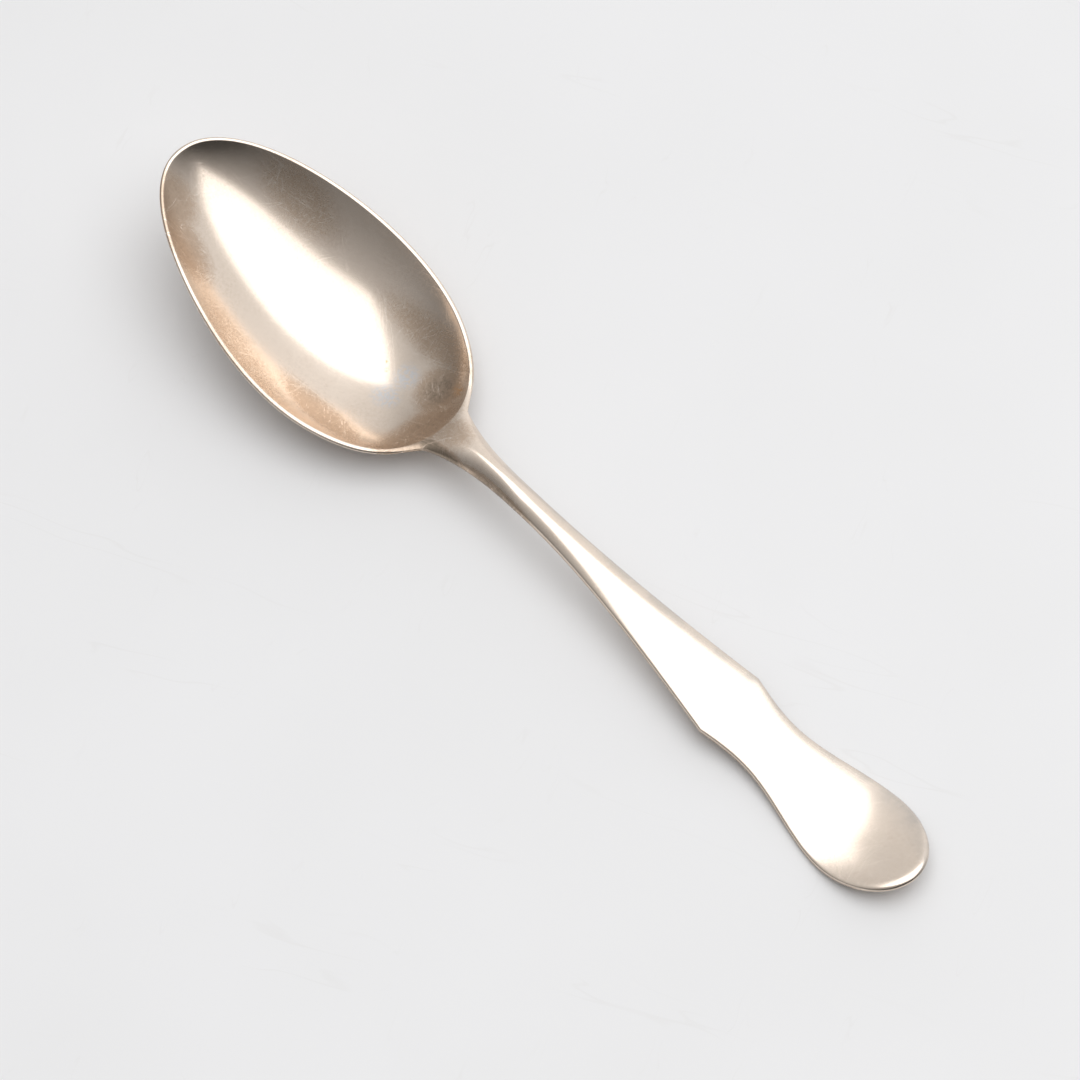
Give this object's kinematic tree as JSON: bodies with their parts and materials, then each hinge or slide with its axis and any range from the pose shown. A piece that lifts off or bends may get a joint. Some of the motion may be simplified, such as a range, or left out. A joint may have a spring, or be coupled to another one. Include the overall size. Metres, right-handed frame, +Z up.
{
  "type": "spoon",
  "caption": "Silver table spoon with an egg-shaped bowl, an arched stem on a rounded drop, and a flat handle with pointed shoulders, a waist and a round end that turns up a little.",
  "frame": {"origin": "middle of the spoon's length and width, on the table that it lies on", "axes": "+X along the spoon from the bowl's tip to the handle's end, +Z up out of the bowl, +Y across"},
  "size_m": [0.21, 0.0448, 0.0227],
  "materials": {
    "silver": "satin worn silver, lightly tarnished",
    "solder": "dull hard solder"
  },
  "bodies": {
    "root": {"bowl": "silver", "handle": "silver", "solder_seam": "solder"}
  },
  "joints": []
}
